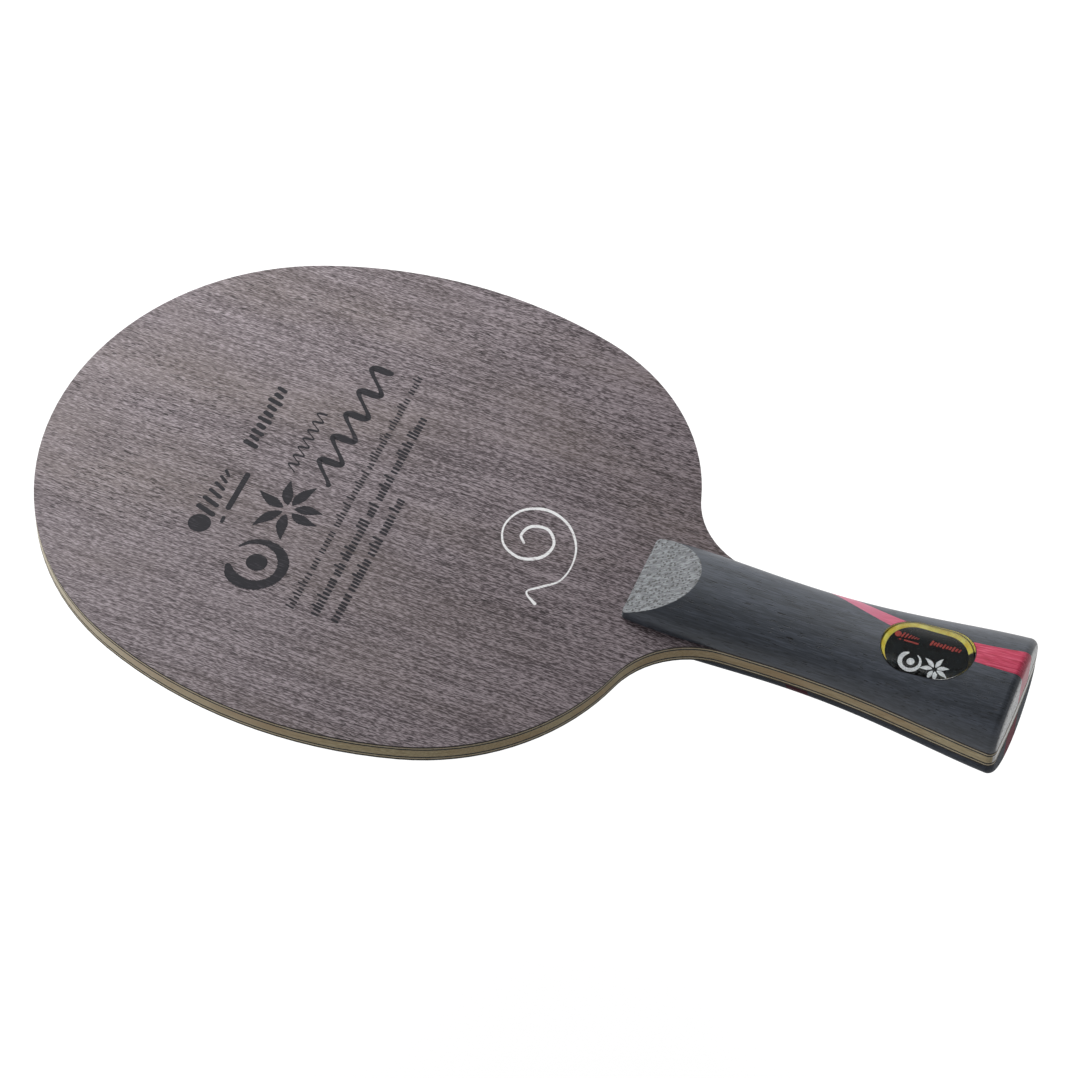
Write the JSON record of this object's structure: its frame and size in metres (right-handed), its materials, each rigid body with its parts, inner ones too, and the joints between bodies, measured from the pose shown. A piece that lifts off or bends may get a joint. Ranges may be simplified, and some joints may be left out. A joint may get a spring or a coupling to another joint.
{
  "type": "table tennis blade",
  "caption": "Bare laminated table tennis paddle blade with an oval head, a flared handle of two bevelled scales and a set-in oval badge.",
  "frame": {"origin": "middle of the overall length, on the long axis, in the mid-plane of the core ply", "axes": "+X from the tip of the head to the butt of the handle, +Z out of the front face that carries the badge, +Y completes a right-handed set, towards the long side edge"},
  "size_m": [0.255, 0.15, 0.0278],
  "materials": {
    "face_veneer": "fine straight-grained purple-grey veneer, sanded and lightly sealed",
    "pale_veneer": "pale veneer seen only at its edge",
    "carbon_cloth": "black carbon cloth in resin, seen as a thin line",
    "core_wood": "light straw-coloured core veneer, edge grain",
    "grey_dyed_wood": "blue-grey dyed wood, satin lacquer",
    "red_dyed_wood": "red dyed wood, satin lacquer",
    "gold_cup": "gold-yellow, glossy",
    "black_plate": "black, glossy",
    "clear_lens": "clear cast lens, polished"
  },
  "bodies": {
    "root": {"core_ply": "core_wood", "front_carbon_ply": "carbon_cloth", "rear_carbon_ply": "carbon_cloth", "front_inner_ply": "pale_veneer", "rear_inner_ply": "pale_veneer", "front_outer_ply": "face_veneer", "rear_outer_ply": "face_veneer", "front_scale_main_block": "grey_dyed_wood", "front_scale_side_block": "grey_dyed_wood", "front_scale_stripe": "red_dyed_wood", "rear_scale_main_block": "grey_dyed_wood", "rear_scale_side_block": "grey_dyed_wood", "rear_scale_stripe": "red_dyed_wood", "badge_cup": "gold_cup", "badge_plate": "black_plate", "badge_lens": "clear_lens"}
  },
  "joints": []
}
